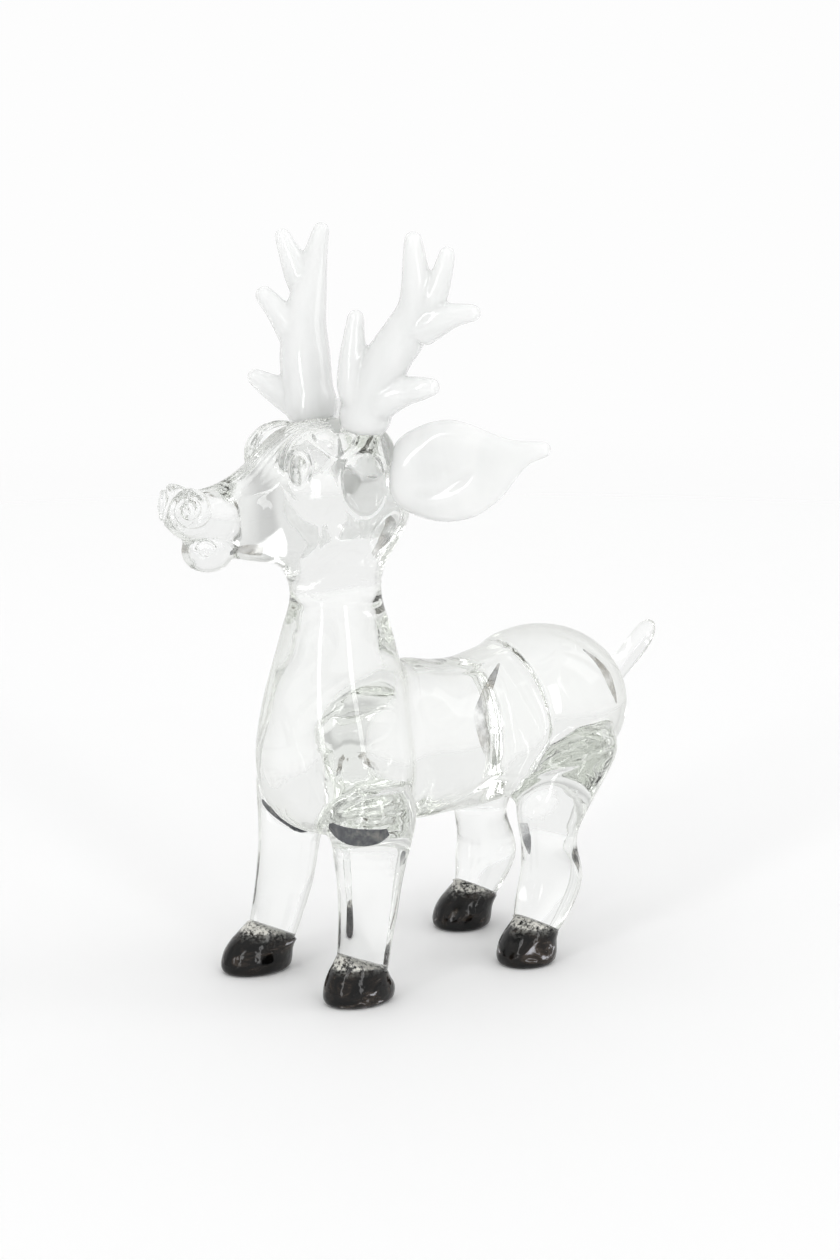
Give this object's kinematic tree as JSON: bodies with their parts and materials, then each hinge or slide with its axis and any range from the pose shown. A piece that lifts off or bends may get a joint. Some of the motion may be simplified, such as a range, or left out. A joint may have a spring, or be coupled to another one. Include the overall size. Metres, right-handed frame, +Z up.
{
  "type": "glass reindeer figurine",
  "caption": "Standing solid glass reindeer with a clear body, branched opal white antlers, leaf-shaped opal ears and black hooves.",
  "frame": {"origin": "bottom centre of the overall box, on the surface that the hooves stand on", "axes": "+Z up; the animal faces -Y; its left side is +X"},
  "size_m": [0.1364, 0.239, 0.2993],
  "materials": {
    "clear_glass": "fire-polished clear glass with a faint warm green tint at its edges",
    "white_opal_glass": "fire-polished milky white opal glass",
    "black_glass": "fire-polished black glass with faint grey streaks"
  },
  "bodies": {
    "root": {"head": "clear_glass", "neck_and_chest": "clear_glass", "barrel": "clear_glass", "rump": "clear_glass", "tail": "clear_glass", "leg_front_left": "clear_glass", "leg_front_right": "clear_glass", "leg_rear_left": "clear_glass", "leg_rear_right": "clear_glass", "hoof_front_left": "black_glass", "hoof_front_right": "black_glass", "hoof_rear_left": "black_glass", "hoof_rear_right": "black_glass", "lower_jaw": "clear_glass", "lip_curl": "clear_glass", "brow_left": "clear_glass", "brow_right": "clear_glass", "eye_left": "clear_glass", "eye_right": "clear_glass", "nostril_left": "clear_glass", "nostril_right": "clear_glass", "ear_left": "white_opal_glass", "ear_right": "white_opal_glass", "antler_left_beam": "white_opal_glass", "antler_right_beam": "white_opal_glass", "left_tine_back": "white_opal_glass", "left_tine_middle": "white_opal_glass", "left_tine_brow": "white_opal_glass", "left_tine_low": "white_opal_glass", "right_tine_front": "white_opal_glass", "right_tine_side": "white_opal_glass", "right_tine_low": "white_opal_glass"}
  },
  "joints": []
}
